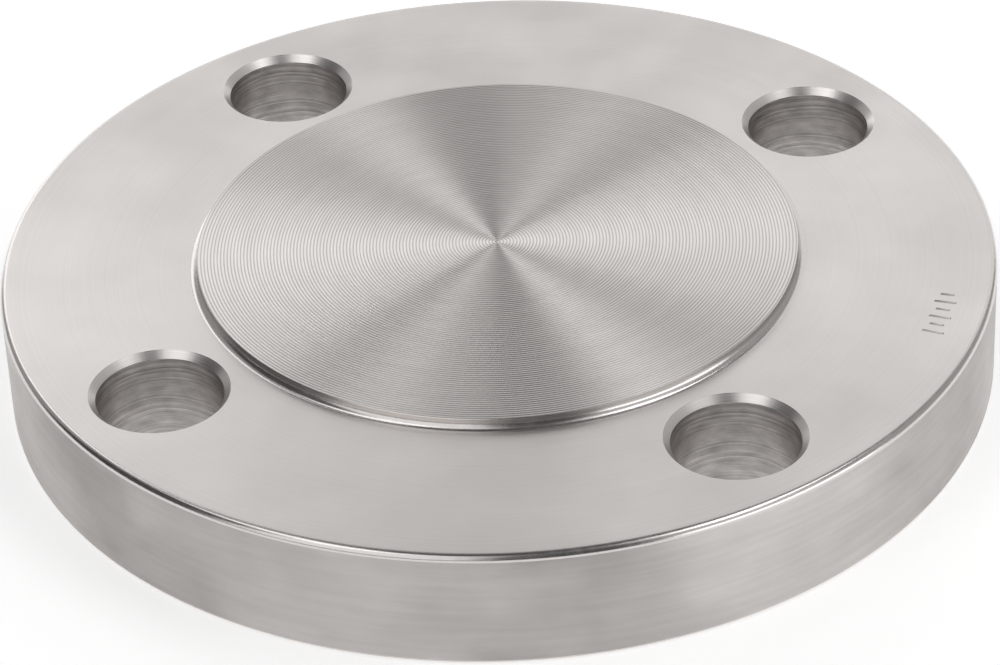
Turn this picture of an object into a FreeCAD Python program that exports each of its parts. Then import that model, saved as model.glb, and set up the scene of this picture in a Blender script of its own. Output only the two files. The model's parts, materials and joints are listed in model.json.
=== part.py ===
import FreeCAD
import Part
import os

# Raised-face blind flange for 2 inch pipe, class 150: one forged and machined disc that closes
# the end of a pipe. All sizes are in millimetres.
# The frame: Z is the flange's axis, up out of the gasket face. The origin is the centre of the
# flat back face. The four bolt holes straddle X and Y.

INCH = 25.4

# Plate
PLATE_DIAMETER = 6.0 * INCH
PLATE_THICKNESS = 0.75 * INCH
FRONT_EDGE_ROUND = 1.0
BACK_EDGE_ROUND = 0.6

# Bolt holes, and the metal left between them and the rim
BOLT_COUNT = 4
BOLT_HOLE_DIAMETER = 0.75 * INCH
BOLT_HOLE_CHAMFER = 1.0
RIM_WALL = 0.25 * INCH

# Raised face, where the gasket sits, the plate left bare between it and the bolt holes, and the
# fillet that joins its wall to the plate
HOLE_TO_RAISED_FACE = 3 * INCH / 16
RAISED_FACE_HEIGHT = INCH / 16
RAISED_FACE_FILLET = 1.15

# How far a cutting tool runs past the faces that it cuts through
TOOL_OVERRUN = 1.0

# The holes stand a rim wall in from the rim, and the raised face stays inside them
BOLT_CIRCLE_DIAMETER = PLATE_DIAMETER - 2 * RIM_WALL - BOLT_HOLE_DIAMETER
RAISED_FACE_DIAMETER = BOLT_CIRCLE_DIAMETER - BOLT_HOLE_DIAMETER - 2 * HOLE_TO_RAISED_FACE
GASKET_FACE_LEVEL = PLATE_THICKNESS + RAISED_FACE_HEIGHT

ORIGIN = FreeCAD.Vector(0, 0, 0)
AXIS = FreeCAD.Vector(0, 0, 1)
FULL_TURN = 360.0
HOLE_STEP = FULL_TURN / BOLT_COUNT
# Half a step round from X, so that the holes straddle both axes
FIRST_HOLE_ANGLE = HOLE_STEP / 2


def at(radius, height):
    """A point of a turned profile, which lies in the XZ half plane."""
    return FreeCAD.Vector(radius, 0, height)


def line(start, end):
    return Part.LineSegment(start, end).toShape()


def quarter_round(start, centre, end):
    """A quarter circle from start to end about centre."""
    outward = (start - centre) + (end - centre)
    middle = centre + outward.normalize() * (start - centre).Length
    return Part.Arc(start, middle, end).toShape()


def turned(edges):
    """The solid that a closed profile sweeps about the axis."""
    profile = Part.Face(Part.Wire(edges))
    return profile.revolve(ORIGIN, AXIS, FULL_TURN)


def turned_blank():
    """The disc before drilling: back face, rim, plate face, raised face."""
    rim = PLATE_DIAMETER / 2
    raised = RAISED_FACE_DIAMETER / 2
    front = PLATE_THICKNESS
    fillet = RAISED_FACE_FILLET

    back_centre = at(0, 0)
    back_edge = at(rim - BACK_EDGE_ROUND, 0)
    back_round_centre = at(rim - BACK_EDGE_ROUND, BACK_EDGE_ROUND)
    rim_bottom = at(rim, BACK_EDGE_ROUND)
    rim_top = at(rim, front - FRONT_EDGE_ROUND)
    front_round_centre = at(rim - FRONT_EDGE_ROUND, front - FRONT_EDGE_ROUND)
    front_edge = at(rim - FRONT_EDGE_ROUND, front)
    fillet_foot = at(raised + fillet, front)
    fillet_centre = at(raised + fillet, front + fillet)
    fillet_head = at(raised, front + fillet)
    raised_edge = at(raised, GASKET_FACE_LEVEL)
    gasket_centre = at(0, GASKET_FACE_LEVEL)

    return turned([
        line(back_centre, back_edge),
        quarter_round(back_edge, back_round_centre, rim_bottom),
        line(rim_bottom, rim_top),
        quarter_round(rim_top, front_round_centre, front_edge),
        line(front_edge, fillet_foot),
        quarter_round(fillet_foot, fillet_centre, fillet_head),
        line(fillet_head, raised_edge),
        line(raised_edge, gasket_centre),
        line(gasket_centre, back_centre),
    ])


def bolt_hole_tool():
    """What leaves the metal at one bolt hole: a bore that flares by its chamfer at both faces of
    the plate, and the space for a bolt head or nut beyond each face."""
    bore = BOLT_HOLE_DIAMETER / 2
    mouth = bore + BOLT_HOLE_CHAMFER
    below = -TOOL_OVERRUN
    above = GASKET_FACE_LEVEL + TOOL_OVERRUN

    lower_end = at(mouth, below)
    lower_mouth = at(mouth, 0)
    lower_throat = at(bore, BOLT_HOLE_CHAMFER)
    upper_throat = at(bore, PLATE_THICKNESS - BOLT_HOLE_CHAMFER)
    upper_mouth = at(mouth, PLATE_THICKNESS)
    upper_end = at(mouth, above)

    return turned([
        line(at(0, below), lower_end),
        line(lower_end, lower_mouth),
        line(lower_mouth, lower_throat),
        line(lower_throat, upper_throat),
        line(upper_throat, upper_mouth),
        line(upper_mouth, upper_end),
        line(upper_end, at(0, above)),
        line(at(0, above), at(0, below)),
    ])


def bolt_hole_tools():
    """One tool at each place on the bolt circle."""
    tools = []
    for index in range(BOLT_COUNT):
        tool = bolt_hole_tool()
        tool.translate(at(BOLT_CIRCLE_DIAMETER / 2, 0))
        tool.rotate(ORIGIN, AXIS, FIRST_HOLE_ANGLE + index * HOLE_STEP)
        tools.append(tool)
    return tools


def blind_flange():
    """The whole flange: the turned blank with its bolt holes drilled and chamfered."""
    drilled = turned_blank().cut(bolt_hole_tools())
    return drilled.Solids[0]


os.makedirs("parts", exist_ok=True)
flange = blind_flange()
flange.exportStep("parts/blind_flange.step")

print("bolt circle", round(BOLT_CIRCLE_DIAMETER, 3), "raised face", round(RAISED_FACE_DIAMETER, 3))
print("valid", flange.isValid(), "volume", round(flange.Volume, 1), "mm3")
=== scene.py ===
import json
import math

import bmesh
import bpy
from mathutils import Matrix, Vector


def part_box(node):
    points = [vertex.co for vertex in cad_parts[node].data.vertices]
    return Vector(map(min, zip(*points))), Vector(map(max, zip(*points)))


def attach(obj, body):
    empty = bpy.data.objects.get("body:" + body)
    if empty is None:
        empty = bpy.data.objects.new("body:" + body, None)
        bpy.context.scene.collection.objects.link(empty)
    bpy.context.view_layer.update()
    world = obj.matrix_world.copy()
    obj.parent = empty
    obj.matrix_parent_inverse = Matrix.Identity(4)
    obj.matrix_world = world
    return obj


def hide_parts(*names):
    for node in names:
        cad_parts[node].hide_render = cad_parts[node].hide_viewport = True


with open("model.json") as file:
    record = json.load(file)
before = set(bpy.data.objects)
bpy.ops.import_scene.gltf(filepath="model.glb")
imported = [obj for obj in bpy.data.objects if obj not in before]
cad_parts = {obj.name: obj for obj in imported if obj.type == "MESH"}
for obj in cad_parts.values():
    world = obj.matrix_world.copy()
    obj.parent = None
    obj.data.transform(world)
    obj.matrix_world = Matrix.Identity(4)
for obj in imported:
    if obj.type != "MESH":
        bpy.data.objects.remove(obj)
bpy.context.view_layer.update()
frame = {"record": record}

# A raised-face blind flange in stainless steel, as it comes off the lathe and the drill press.
# Lengths are in metres, in the frame of the CAD model: Z is the flange's axis and the back face
# lies at zero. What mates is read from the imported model; the rest is named here.

MM = 0.001
INCH = 25.4 * MM

# Turned sizes
RIM_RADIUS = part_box("blind_flange")[1].x
GASKET_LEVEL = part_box("blind_flange")[1].z
PLATE_LEVEL = GASKET_LEVEL - INCH / 16
RAISED_RADIUS = 46.0375 * MM
FILLET = 1.15 * MM
FRONT_ROUND = 1.0 * MM
BACK_ROUND = 0.6 * MM

# Bolt holes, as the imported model's bolt circle has them
MOUNTS = {mount["name"]: mount for mount in frame["record"]["mounts"]}
BOLT_DIMS = MOUNTS["bolt_circle"]["dims"]
HOLE_RADIUS = BOLT_DIMS["hole_r_mm"] * MM
BOLT_CIRCLE_RADIUS = BOLT_DIMS["pcd_mm"] * MM / 2
HOLE_COUNT = BOLT_DIMS["count"]
HOLE_OFFSET = BOLT_CIRCLE_RADIUS * math.sin(math.pi / HOLE_COUNT)
CHAMFER = 1.0 * MM

# Spiral serration of the gasket face, 50 grooves to the inch
GROOVE_PITCH = INCH / 50
GROOVE_DEPTH = 0.04 * MM
SAMPLES_PER_GROOVE = 4
CENTRE_DOT = 0.3 * MM
RAISED_EDGE_BREAK = 0.07 * MM

# A row of plain tally bars stamped in the plate near the rim
BAR_COUNT = 6
BAR_ROW_RADIUS = 69.3 * MM
BAR_ROW_START = math.radians(-11.0)
BAR_SPACING = 2.0 * MM
BAR_LENGTHS = (3.4 * MM, 2.2 * MM)
BAR_WIDTH = 0.6 * MM
BAR_DEPTH = 0.12 * MM
BAR_FLOOR_WIDTH = 0.5           # of its width at the plate

# How finely the mesh follows the shape
TURN_STEPS = 216
HOLE_STEPS = 96
ROUND_STEPS = 10
BACK_ROUND_STEPS = 8
BAR_OUTLINE_STEPS = 14
FLAT_MARGIN = 0.5 * MM
WELD = 0.001 * MM
SHARP_CREST = math.radians(18)
SHARP_CORNER = math.radians(30)

# Finishes, in the order of the flange's material slots
FACED, SERRATED, RIM, EDGES, DRILLED, COUNTERSUNK, STAMPED = range(7)


# ---------------------------------------------------------------- the flange's mesh

def arc(centre_r, centre_z, radius, start, end, segments):
    """Points (radius, height) on a quarter round, its ends included."""
    points = []
    for step in range(segments + 1):
        angle = math.radians(start + (end - start) * step / segments)
        points.append((centre_r + radius * math.cos(angle), centre_z + radius * math.sin(angle)))
    return points


def set_finish(bm, first_face, finish):
    bm.faces.ensure_lookup_table()
    for face in bm.faces[first_face:]:
        face.material_index = finish


def turn(bm, profile, finish, centre=(0.0, 0.0), steps=TURN_STEPS):
    """Turns a profile of (radius, height) into a skin about the upright axis through centre."""
    first_face = len(bm.faces)
    verts = [bm.verts.new((centre[0] + r, centre[1], z)) for r, z in profile]
    edges = [bm.edges.new(pair) for pair in zip(verts, verts[1:])]
    bmesh.ops.spin(bm, geom=verts + edges, cent=(*centre, 0), axis=(0, 0, 1), dvec=(0, 0, 0),
                   angle=math.tau, steps=steps, use_merge=True, use_duplicate=False)
    set_finish(bm, first_face, finish)


def rim(bm):
    """The outside: front round, turned wall and back round, with a narrow flat at each end."""
    top = arc(RIM_RADIUS - FRONT_ROUND, PLATE_LEVEL - FRONT_ROUND, FRONT_ROUND, 90, 0,
              ROUND_STEPS)
    bottom = arc(RIM_RADIUS - BACK_ROUND, BACK_ROUND, BACK_ROUND, 0, -90, BACK_ROUND_STEPS)
    turn(bm, [(top[0][0] - FLAT_MARGIN, PLATE_LEVEL), top[0]], FACED)
    turn(bm, top, EDGES)
    turn(bm, [top[-1], bottom[0]], RIM)
    turn(bm, bottom, EDGES)
    turn(bm, [bottom[-1], (bottom[-1][0] - FLAT_MARGIN, 0)], FACED)


def hole_centres():
    """The bolt holes straddle X and Y, so the first is half a step round from X."""
    for index in range(HOLE_COUNT):
        angle = math.tau * (index + 0.5) / HOLE_COUNT
        yield BOLT_CIRCLE_RADIUS * math.cos(angle), BOLT_CIRCLE_RADIUS * math.sin(angle)


def bolt_hole(bm, centre):
    """A drilled wall with a countersunk edge at each face of the plate."""
    mouth = HOLE_RADIUS + CHAMFER
    upper = [(mouth, PLATE_LEVEL), (HOLE_RADIUS, PLATE_LEVEL - CHAMFER)]
    lower = [(HOLE_RADIUS, CHAMFER), (mouth, 0)]
    turn(bm, upper, COUNTERSUNK, centre, HOLE_STEPS)
    turn(bm, [upper[1], lower[0]], DRILLED, centre, HOLE_STEPS)
    turn(bm, lower, COUNTERSUNK, centre, HOLE_STEPS)


def stamped_bar(bm, angle, length):
    """One bar of the stamped row: a round-ended outline, sloping sides and a flat bottom."""
    first_face = len(bm.faces)
    circle = bmesh.ops.create_circle(bm, cap_ends=False, segments=BAR_OUTLINE_STEPS,
                                     radius=BAR_WIDTH / 2)
    verts = circle["verts"]
    for vert in verts:
        vert.co.x += math.copysign((length - BAR_WIDTH) / 2, vert.co.x)
    place = Matrix.Rotation(angle, 4, "Z") @ Matrix.Translation((BAR_ROW_RADIUS, 0, PLATE_LEVEL))
    bmesh.ops.transform(bm, matrix=place, verts=verts)
    outline = list({edge for vert in verts for edge in vert.link_edges})
    grown = bmesh.ops.extrude_edge_only(bm, edges=outline)["geom"]
    lower_verts = [part for part in grown if isinstance(part, bmesh.types.BMVert)]
    lower_edges = [part for part in grown if isinstance(part, bmesh.types.BMEdge)]
    middle = sum((vert.co for vert in lower_verts), Vector()) / len(lower_verts)
    across = Vector((-math.sin(angle), math.cos(angle), 0))
    for vert in lower_verts:
        vert.co -= (1 - BAR_FLOOR_WIDTH) * across * across.dot(vert.co - middle)
        vert.co.z -= BAR_DEPTH
    bmesh.ops.triangle_fill(bm, edges=lower_edges, use_beauty=True, use_dissolve=False)
    set_finish(bm, first_face, STAMPED)


def stamped_row(bm):
    for index in range(BAR_COUNT):
        angle = BAR_ROW_START + index * BAR_SPACING / BAR_ROW_RADIUS
        stamped_bar(bm, angle, BAR_LENGTHS[index % 2])


def scallop(phase):
    """Height of the serration above its valleys, 0 to 1: the round nose of the tool leaves
    parabolas that meet in sharp crests."""
    return (2 * (phase % 1.0) - 1) ** 2


def serrated_point(plain_radius, turns):
    """A point (radius, height) of the gasket face. turns is how far round it lies, 0 to 1, and
    the groove moves in by one pitch in a whole turn."""
    radius = min(plain_radius - GROOVE_PITCH * turns, RAISED_RADIUS - RAISED_EDGE_BREAK)
    if radius < CENTRE_DOT:
        return 0.0, GASKET_LEVEL - GROOVE_DEPTH
    depth = GROOVE_DEPTH * (1 - scallop(radius / GROOVE_PITCH + turns))
    return radius, GASKET_LEVEL - depth


def raised_face(bm):
    """The gasket face with its spiral, the wall under it and the fillet down to the plate: a
    flat grid with a row for each ring, bent round the axis."""
    first_face = len(bm.faces)
    ring_step = GROOVE_PITCH / SAMPLES_PER_GROOVE
    ring_count = math.ceil((RAISED_RADIUS + GROOVE_PITCH) / ring_step) + 1
    foot = [(RAISED_RADIUS, GASKET_LEVEL - GROOVE_DEPTH - RAISED_EDGE_BREAK)]
    foot += arc(RAISED_RADIUS + FILLET, PLATE_LEVEL + FILLET, FILLET, 180, 270, ROUND_STEPS)
    foot.append((RAISED_RADIUS + FILLET + FLAT_MARGIN, PLATE_LEVEL))

    rows = ring_count + len(foot)
    grid = bmesh.ops.create_grid(bm, x_segments=rows - 1, y_segments=TURN_STEPS, size=1)
    for vert in grid["verts"]:
        row = round((vert.co.x + 1) / 2 * (rows - 1))
        turns = (vert.co.y + 1) / 2
        if row < ring_count:
            radius, height = serrated_point(row * ring_step, turns)
        else:
            radius, height = foot[row - ring_count]
        angle = math.tau * turns
        vert.co = (radius * math.cos(angle), radius * math.sin(angle), height)

    set_finish(bm, first_face, EDGES)
    for face in bm.faces[first_face:]:
        heights = [vert.co.z for vert in face.verts]
        if min(heights) > GASKET_LEVEL - GROOVE_DEPTH - WELD:
            face.material_index = SERRATED
        elif max(heights) < PLATE_LEVEL + WELD:
            face.material_index = FACED


def fill_flat(bm, level):
    """Fills the flat face at a level between the open edges that lie on it."""
    border = [edge for edge in bm.edges
              if edge.is_boundary and all(abs(vert.co.z - level) < WELD for vert in edge.verts)]
    filled = bmesh.ops.triangle_fill(bm, edges=border, use_beauty=True, use_dissolve=False)
    for part in filled["geom"]:
        if isinstance(part, bmesh.types.BMFace):
            part.material_index = FACED


def set_shading(bm):
    """Smooth all over, with hard lines at the corners and at the crests of the serration."""
    for face in bm.faces:
        face.smooth = True
    for edge in bm.edges:
        serrated = all(face.material_index == SERRATED for face in edge.link_faces)
        edge.smooth = edge.calc_face_angle(0) < (SHARP_CREST if serrated else SHARP_CORNER)


def flange_mesh():
    bm = bmesh.new()
    for centre in hole_centres():
        bolt_hole(bm, centre)
    rim(bm)
    stamped_row(bm)
    raised_face(bm)
    bmesh.ops.remove_doubles(bm, verts=bm.verts, dist=WELD)
    fill_flat(bm, PLATE_LEVEL)
    fill_flat(bm, 0.0)
    bmesh.ops.recalc_face_normals(bm, faces=bm.faces)
    set_shading(bm)
    mesh = bpy.data.meshes.new("flange_steel")
    bm.to_mesh(mesh)
    bm.free()
    return mesh


# ---------------------------------------------------------------- finishes

STEEL_TINT = (0.66, 0.63, 0.612)
MARK_RADIUS = 40.0              # mm from the axis, where marks that run round are their true length


class Finish:
    """A steel finish being put together: a metal shader, and the nodes that vary it. Places are
    in millimetres from here on, because the marks of a tool are that small."""

    def __init__(self, name, anisotropic=0.0, brightness=1.0):
        self.material = bpy.data.materials.new(name)
        self.material.use_nodes = True
        self.tree = self.material.node_tree
        self.shader = self.tree.nodes["Principled BSDF"]
        self.colour = [channel * brightness for channel in STEEL_TINT]
        self.shader.inputs["Base Color"].default_value = (*self.colour, 1)
        self.shader.inputs["Metallic"].default_value = 1.0
        self.shader.inputs["Anisotropic"].default_value = anisotropic
        coordinates = self.tree.nodes.new("ShaderNodeTexCoord")
        self.place = self.vector("MULTIPLY", coordinates.outputs["Object"], (1000, 1000, 1000))
        self.bump = None

    def put(self, socket, value):
        if isinstance(value, bpy.types.NodeSocket):
            self.tree.links.new(value, socket)
        else:
            socket.default_value = value

    def math(self, operation, *values):
        node = self.tree.nodes.new("ShaderNodeMath")
        node.operation = operation
        for socket, value in zip(node.inputs, values):
            self.put(socket, value)
        return node.outputs[0]

    def vector(self, operation, *values):
        node = self.tree.nodes.new("ShaderNodeVectorMath")
        node.operation = operation
        for socket, value in zip(node.inputs, values):
            self.put(socket, value)
        return node.outputs["Value" if operation == "LENGTH" else "Vector"]

    def split(self, where):
        node = self.tree.nodes.new("ShaderNodeSeparateXYZ")
        self.put(node.inputs[0], where)
        return node.outputs["X"], node.outputs["Y"], node.outputs["Z"]

    def join(self, x, y, z):
        node = self.tree.nodes.new("ShaderNodeCombineXYZ")
        for socket, value in zip(node.inputs, (x, y, z)):
            self.put(socket, value)
        return node.outputs[0]

    def noise(self, where, scale=1.0, detail=2.0):
        """Lumps from 0 to 1, scale of them to the millimetre."""
        node = self.tree.nodes.new("ShaderNodeTexNoise")
        self.put(node.inputs["Vector"], where)
        node.inputs["Scale"].default_value = scale
        node.inputs["Detail"].default_value = detail
        return node.outputs["Fac"]

    def lines(self, along, scale, detail=2.0):
        """Lines from 0 to 1, at right angles to a distance, scale of them to the millimetre."""
        node = self.tree.nodes.new("ShaderNodeTexNoise")
        node.noise_dimensions = "1D"
        self.put(node.inputs["W"], along)
        node.inputs["Scale"].default_value = scale
        node.inputs["Detail"].default_value = detail
        return node.outputs["Fac"]

    def spread(self, value, low, high, to_low, to_high):
        """Stretches the range low to high of a value over another range, and clips it there."""
        node = self.tree.nodes.new("ShaderNodeMapRange")
        for socket, number in zip(node.inputs, (value, low, high, to_low, to_high)):
            self.put(socket, number)
        return node.outputs["Result"]

    def flat(self, where):
        return self.vector("MULTIPLY", where, (1, 1, 0))

    def nearest_hole(self):
        """Places measured from the axis of the nearest bolt hole."""
        offset = HOLE_OFFSET / MM
        return self.vector("SUBTRACT", self.vector("ABSOLUTE", self.place), (offset, offset, 0))

    def round_and_out(self, where, stretch):
        """A place in which marks run round the upright axis: their length is stretch times their
        width. Angle is taken as a place on a circle, so there is no seam."""
        radius = self.vector("LENGTH", self.flat(where))
        x, y, _ = self.split(self.vector("NORMALIZE", self.flat(where)))
        run = MARK_RADIUS / stretch
        return self.join(self.math("MULTIPLY", x, run), self.math("MULTIPLY", y, run), radius)

    def set_colour(self, shade):
        """Darkens or lightens the steel by a factor about 1."""
        self.put(self.shader.inputs["Base Color"], self.vector("MULTIPLY", self.colour, shade))

    def set_roughness(self, value):
        self.put(self.shader.inputs["Roughness"], value)

    def set_spread_direction(self, direction):
        """The direction in which an anisotropic finish spreads its reflections."""
        self.put(self.shader.inputs["Tangent"], direction)

    def raise_by(self, height, micrometres):
        """Adds relief where height goes from 0 to 1."""
        node = self.tree.nodes.new("ShaderNodeBump")
        node.inputs["Distance"].default_value = micrometres / 1e6
        self.put(node.inputs["Height"], height)
        if self.bump:
            self.put(node.inputs["Normal"], self.bump)
        self.bump = node.outputs["Normal"]
        self.put(self.shader.inputs["Normal"], self.bump)


def faced_steel():
    """The plate's two flat faces: a fine feed, rubbed smooth since, with faint stains."""
    finish = Finish("faced_steel", anisotropic=0.5, brightness=1.16)
    across = finish.flat(finish.place)
    finish.set_spread_direction(finish.vector("NORMALIZE", across))
    stains = finish.noise(finish.place, 0.05, 4)
    rubs = finish.noise(finish.round_and_out(finish.place, 12), 0.9, 3)
    roughness = finish.spread(stains, 0.35, 0.65, 0.31, 0.38)
    finish.set_roughness(finish.math("ADD", roughness, finish.spread(rubs, 0.3, 0.7, -0.02, 0.02)))
    turning = finish.lines(finish.vector("LENGTH", across), 2.2, 3)
    finish.set_colour(finish.math("MULTIPLY", finish.spread(stains, 0.3, 0.7, 1.03, 0.96),
                                  finish.spread(turning, 0.3, 0.7, 0.985, 1.015)))
    finish.raise_by(turning, 1.5)
    finish.raise_by(stains, 25.0)
    return finish.material


def serrated_steel():
    """The gasket face. Its grooves are in the mesh: these are rougher crests in painted shade
    between valleys with a painted highlight, the finer lines along them, and the way that each
    catches the light."""
    finish = Finish("serrated_steel", anisotropic=1.0, brightness=1.06)
    across = finish.flat(finish.place)
    finish.set_spread_direction(finish.vector("NORMALIZE", across))
    radius = finish.vector("LENGTH", across)
    x, y, _ = finish.split(finish.place)
    turns = finish.math("DIVIDE", finish.math("ARCTAN2", y, x), math.tau)
    grooves = finish.math("DIVIDE", radius, GROOVE_PITCH / MM)
    phase = finish.math("FRACT", finish.math("ADD", grooves, turns))
    from_valley = finish.math("SUBTRACT", finish.math("MULTIPLY", phase, 2.0), 1.0)
    crest = finish.math("MULTIPLY", from_valley, from_valley)
    uneven = finish.noise(finish.round_and_out(finish.place, 8), 0.6, 3)
    # Painted shade and highlight: the crests are painted darker and the valleys brighter, standing
    # in for the light and shade that the grooves reflect
    shade = finish.math("MULTIPLY", finish.spread(crest, 0.0, 1.0, 1.18, 0.62),
                        finish.spread(uneven, 0.25, 0.75, 0.96, 1.04))
    finish.set_colour(shade)
    finish.set_roughness(finish.spread(crest, 0.0, 1.0, 0.285, 0.36))
    finish.raise_by(finish.lines(radius, 6.0, 1), 2.0)
    return finish.material


def turned_rim_steel():
    """The outside of the plate: fine level lines, long faint streaks and soft stains."""
    finish = Finish("turned_rim_steel", anisotropic=0.9, brightness=0.86)
    _, _, height = finish.split(finish.place)
    finish.set_spread_direction(finish.join(0, 0, 1))
    stains = finish.noise(finish.vector("MULTIPLY", finish.place, (1, 1, 1.6)), 0.06, 4)
    streaks = finish.noise(finish.vector("MULTIPLY", finish.place, (0.05, 0.05, 1)), 1.2, 3)
    finish.set_roughness(finish.spread(stains, 0.35, 0.65, 0.38, 0.46))
    shade = finish.spread(streaks, 0.3, 0.7, 0.95, 1.04)
    finish.set_colour(finish.math("MULTIPLY", shade, finish.spread(stains, 0.3, 0.7, 1.05, 0.92)))
    finish.raise_by(finish.lines(height, 3.0, 3), 6.0)
    finish.raise_by(stains, 60.0)
    return finish.material


def polished_edge_steel():
    """The rounded corners, run over with a cloth in the lathe, and the small flats beside them."""
    finish = Finish("polished_edge_steel")
    nicks = finish.noise(finish.place, 0.5, 4)
    finish.set_roughness(finish.spread(nicks, 0.45, 0.7, 0.21, 0.26))
    finish.raise_by(finish.noise(finish.round_and_out(finish.place, 20), 2.5, 2), 1.5)
    return finish.material


def drilled_steel():
    """The walls of the holes: rings left by the drill, not quite level, with darker patches, and
    painted light: lighter towards the back face, where the light off the paper below reaches in."""
    finish = Finish("drilled_steel", anisotropic=0.4, brightness=0.86)
    finish.set_spread_direction(finish.join(0, 0, 1))
    _, _, height = finish.split(finish.place)
    wander = finish.spread(finish.noise(finish.place, 0.06, 1), 0.0, 1.0, -1.2, 1.2)
    level = finish.math("ADD", height, wander)
    coarse = finish.lines(level, 1.6, 4)
    fine = finish.lines(level, 5.0, 2)
    patches = finish.noise(finish.vector("MULTIPLY", finish.place, (1, 1, 2)), 0.3, 5)
    shade = finish.math("MULTIPLY", finish.spread(coarse, 0.3, 0.7, 0.80, 1.12),
                        finish.spread(fine, 0.3, 0.7, 0.84, 1.12))
    shade = finish.math("MULTIPLY", shade, finish.spread(patches, 0.3, 0.7, 0.76, 1.18))
    # Painted light: the wall is painted lighter towards the back face and darker towards the front,
    # standing in for the light off the paper that reaches into the lower part of the hole
    depth = finish.spread(height, 5.0, 19.0, 1.10, 0.95)
    finish.set_colour(finish.math("MULTIPLY", shade, depth))
    finish.set_roughness(finish.spread(coarse, 0.3, 0.7, 0.30, 0.46))
    finish.raise_by(coarse, 60.0)
    finish.raise_by(fine, 16.0)
    return finish.material


def countersunk_steel():
    """The bevels at the ends of the holes: bright rings with the chatter of the cutter."""
    finish = Finish("countersunk_steel", brightness=1.26)
    where = finish.nearest_hole()
    radius = finish.vector("LENGTH", finish.flat(where))
    rings = finish.lines(radius, 5.0, 2)
    finish.set_roughness(finish.spread(rings, 0.3, 0.7, 0.28, 0.35))
    finish.set_colour(finish.spread(rings, 0.3, 0.7, 0.92, 1.06))
    finish.raise_by(rings, 5.0)
    x, y, _ = finish.split(finish.vector("NORMALIZE", finish.flat(where)))
    chatter = finish.noise(finish.join(x, y, 0), 12.0, 2)
    finish.raise_by(chatter, 6.0)
    return finish.material


def stamped_steel():
    """The bottoms of the stamped bars, pressed and a little darker."""
    finish = Finish("stamped_steel", brightness=0.86)
    finish.set_roughness(0.36)
    finish.raise_by(finish.noise(finish.place, 4.0, 2), 6.0)
    return finish.material


def make_flange():
    flange = bpy.data.objects.new("flange_steel", flange_mesh())
    bpy.context.scene.collection.objects.link(flange)
    for finish in (faced_steel, serrated_steel, turned_rim_steel, polished_edge_steel,
                   drilled_steel, countersunk_steel, stamped_steel):
        flange.data.materials.append(finish())
    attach(flange, "root")
    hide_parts("blind_flange")
    return flange


# ---------------------------------------------------------------- studio

CAMERA_AZIMUTH = 11.9
CAMERA_ELEVATION = 34.95
CAMERA_ROLL = math.radians(-2.63)
CAMERA_DISTANCE = 0.612
CAMERA_AIM = Vector((4.37 * MM, -21.62 * MM, PLATE_LEVEL))
CAMERA_LENS = 147.9

CAMERA_SENSOR = 36.0
CAMERA_NEAR = 0.01

# The paper lies just clear of the flange's back face and stops short of the panels
PAPER_HALF_WIDTH = 1.8
PAPER_DROP = 0.2 * MM
PAPER_WHITE = 0.86
PAPER_ROUGHNESS = 0.9
PAPER_GLOW = 0.47
ROOM_DIM = (0.06, 0.06, 0.06)
ROOM_PALE = (1.0, 1.0, 1.0)


def heading(azimuth, elevation):
    """The direction from the flange towards something seen at that azimuth and elevation in
    degrees, where azimuth 0 is -Y and it grows towards +X."""
    azimuth = math.radians(azimuth)
    elevation = math.radians(elevation)
    flat = math.cos(elevation)
    return Vector((math.sin(azimuth) * flat, -math.cos(azimuth) * flat, math.sin(elevation)))


def make_camera():
    camera = bpy.data.objects.new("camera", bpy.data.cameras.new("camera"))
    bpy.context.scene.collection.objects.link(camera)
    back = heading(CAMERA_AZIMUTH, CAMERA_ELEVATION)
    level_right = Vector((0, 0, 1)).cross(back).normalized()
    level_up = back.cross(level_right)
    right = level_right * math.cos(CAMERA_ROLL) + level_up * math.sin(CAMERA_ROLL)
    up = level_up * math.cos(CAMERA_ROLL) - level_right * math.sin(CAMERA_ROLL)
    turned_to = Matrix((right, up, back)).transposed().to_4x4()
    camera.matrix_world = Matrix.Translation(CAMERA_AIM + back * CAMERA_DISTANCE) @ turned_to
    camera.data.sensor_width = CAMERA_SENSOR
    camera.data.lens = CAMERA_LENS
    camera.data.clip_start = CAMERA_NEAR
    bpy.context.scene.camera = camera


def make_floor():
    """Pale paper, lit from behind as well, so that it glows a little."""
    bm = bmesh.new()
    bmesh.ops.create_grid(bm, x_segments=1, y_segments=1, size=PAPER_HALF_WIDTH)
    mesh = bpy.data.meshes.new("floor")
    bm.to_mesh(mesh)
    bm.free()
    floor = bpy.data.objects.new("floor", mesh)
    bpy.context.scene.collection.objects.link(floor)
    floor.location.z = -PAPER_DROP
    material = bpy.data.materials.new("floor_paper")
    material.use_nodes = True
    shader = material.node_tree.nodes["Principled BSDF"]
    shader.inputs["Base Color"].default_value = (PAPER_WHITE, PAPER_WHITE, PAPER_WHITE, 1)
    shader.inputs["Roughness"].default_value = PAPER_ROUGHNESS
    shader.inputs["Emission Color"].default_value = (1, 1, 1, 1)
    shader.inputs["Emission Strength"].default_value = PAPER_GLOW
    floor.data.materials.append(material)


# Upright soft panels all round the flange. For each: how far round from the camera's side its
# middle stands and how wide it looks, the elevations of its lower and upper edges, all in
# degrees, and its radiance
UPRIGHT_PANELS = {
    "left_panel": (-34.5, 55, 8, 74, 1.02),
    "right_low_panel": (57.5, 49, 0, 20, 2.15),
    "right_panel": (57.5, 49, 20, 66, 0.58),
    "far_left_panel": (232, 32, 0, 44, 0.3),
    "far_middle_panel": (207, 18, 0, 50, 1.45),
    "far_right_panel": (168, 60, 0, 44, 0.89),
    "right_side_low_panel": (110, 50, 0, 18, 0.36),
    "right_side_panel": (110, 50, 18, 50, 0.33),
}
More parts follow.
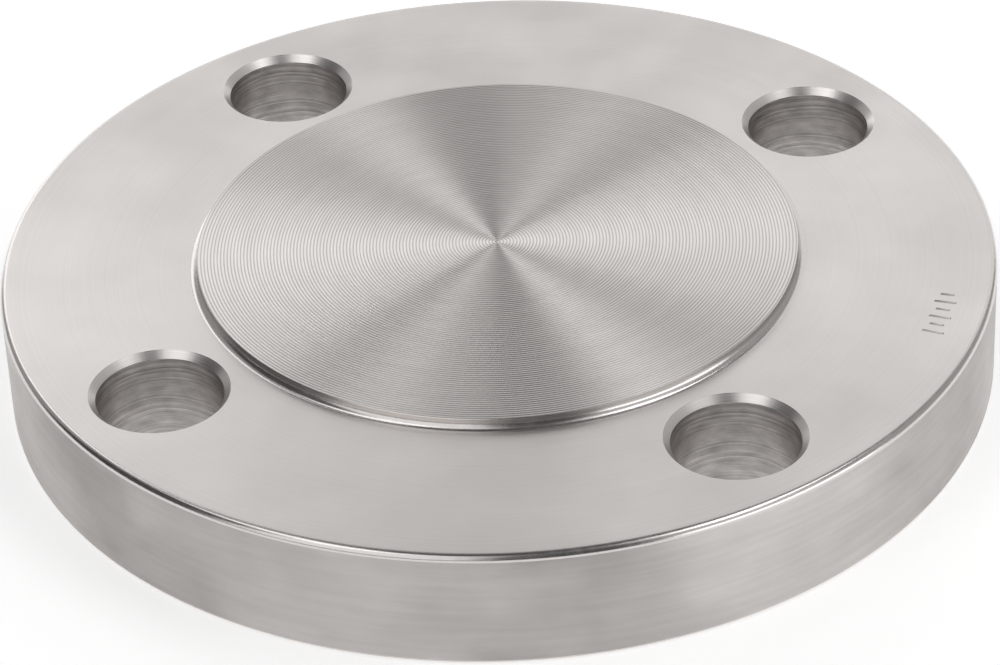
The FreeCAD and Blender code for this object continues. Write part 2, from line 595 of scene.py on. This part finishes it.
# Panels higher up, which face the flange: azimuth and elevation of the middle, width and height,
# all in degrees, and radiance
HIGH_PANELS = {
    "left_high_panel": (-85, 66, 34, 16, 1.6),
    "right_high_panel": (90, 64, 34, 16, 2.45),
    "far_high_panel": (192, 56, 60, 18, 0.33),
}
PANEL_DISTANCE = 2.0


def make_panel(name, place, facing, width, height, radiance):
    light = bpy.data.lights.new(name, "AREA")
    light.shape = "RECTANGLE"
    light.size = width
    light.size_y = height
    light.energy = radiance * math.pi * width * height
    lamp = bpy.data.objects.new(name, light)
    bpy.context.scene.collection.objects.link(lamp)
    lamp.location = place
    lamp.rotation_mode = "QUATERNION"
    lamp.rotation_quaternion = facing.to_track_quat("Z", "Y")
    lamp.visible_camera = False


def span(angle):
    """How wide a thing at the panels' distance is that looks angle degrees wide."""
    return 2 * PANEL_DISTANCE * math.tan(math.radians(angle) / 2)


def upright_panel(name, azimuth, width, low, high, radiance):
    outwards = heading(CAMERA_AZIMUTH + azimuth, 0)
    bottom = PANEL_DISTANCE * math.tan(math.radians(low))
    top = PANEL_DISTANCE * math.tan(math.radians(high))
    place = outwards * PANEL_DISTANCE + Vector((0, 0, (bottom + top) / 2))
    make_panel(name, place, outwards, span(width), top - bottom, radiance)


def high_panel(name, azimuth, elevation, width, height, radiance):
    outwards = heading(CAMERA_AZIMUTH + azimuth, elevation)
    make_panel(name, outwards * PANEL_DISTANCE, outwards, span(width), span(height), radiance)


def make_lights():
    """The panels, in a room that is dim where the steel reflects it and pale behind the flange."""
    world = bpy.data.worlds.new("studio")
    bpy.context.scene.world = world
    world.use_nodes = True
    tree = world.node_tree
    dim = tree.nodes["Background"]
    dim.inputs["Color"].default_value = (*ROOM_DIM, 1)
    pale = tree.nodes.new("ShaderNodeBackground")
    pale.inputs["Color"].default_value = (*ROOM_PALE, 1)
    seen = tree.nodes.new("ShaderNodeLightPath").outputs["Is Camera Ray"]
    chosen = tree.nodes.new("ShaderNodeMixShader")
    for socket, source in zip(chosen.inputs, (seen, dim.outputs[0], pale.outputs[0])):
        tree.links.new(source, socket)
    tree.links.new(chosen.outputs[0], tree.nodes["World Output"].inputs["Surface"])
    for name, panel in UPRIGHT_PANELS.items():
        upright_panel(name, *panel)
    for name, panel in HIGH_PANELS.items():
        high_panel(name, *panel)


make_flange()
make_floor()
make_camera()
make_lights()
bpy.context.scene.view_settings.view_transform = "Standard"
